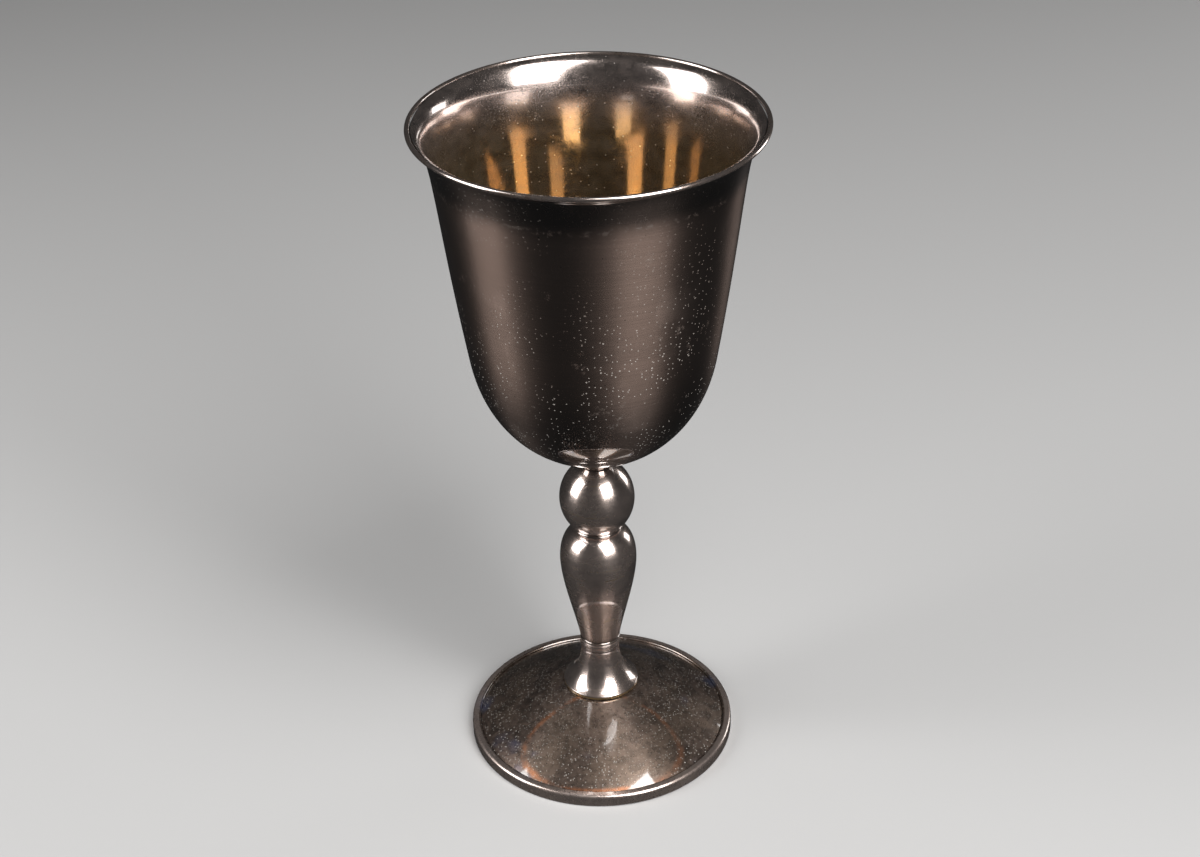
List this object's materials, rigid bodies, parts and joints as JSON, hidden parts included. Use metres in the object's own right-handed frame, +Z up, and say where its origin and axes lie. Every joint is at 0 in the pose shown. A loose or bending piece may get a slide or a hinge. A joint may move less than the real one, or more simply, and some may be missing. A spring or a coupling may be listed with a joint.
{
  "type": "communion chalice",
  "caption": "Stemmed cup with a flared lip, ball knop, baluster stem and round spun foot, clamped together by a tie rod, for serving wine.",
  "frame": {"origin": "centre of the foot ring's underside, where the cup stands on the table", "axes": "+Z up along the axis that every piece is turned about; X and Y are any two directions square to it"},
  "size_m": [0.0862, 0.0862, 0.18],
  "materials": {
    "gilt_bowl": "silver plate outside, worn gilding inside, dulled mirror polish",
    "silver_plate": "silver plate on turned brass, dulled mirror polish with fine turning lines",
    "tarnished_plate": "silver plate on spun brass, brown tarnish and speckles",
    "raw_brass": "bare brass as turned",
    "plain_steel": "plain steel fastenings"
  },
  "bodies": {
    "root": {"bowl": "gilt_bowl", "lip_wire": "silver_plate", "stud_plate": "raw_brass", "bowl_collar": "silver_plate", "knop_ball": "silver_plate", "neck_ring": "silver_plate", "baluster": "silver_plate", "stem_band": "silver_plate", "stem_base": "silver_plate", "foot": "tarnished_plate", "foot_ring": "tarnished_plate", "tie_rod": "plain_steel", "spreader_washer": "plain_steel", "spring_washer": "plain_steel", "clamp_nut": "plain_steel"}
  },
  "joints": []
}
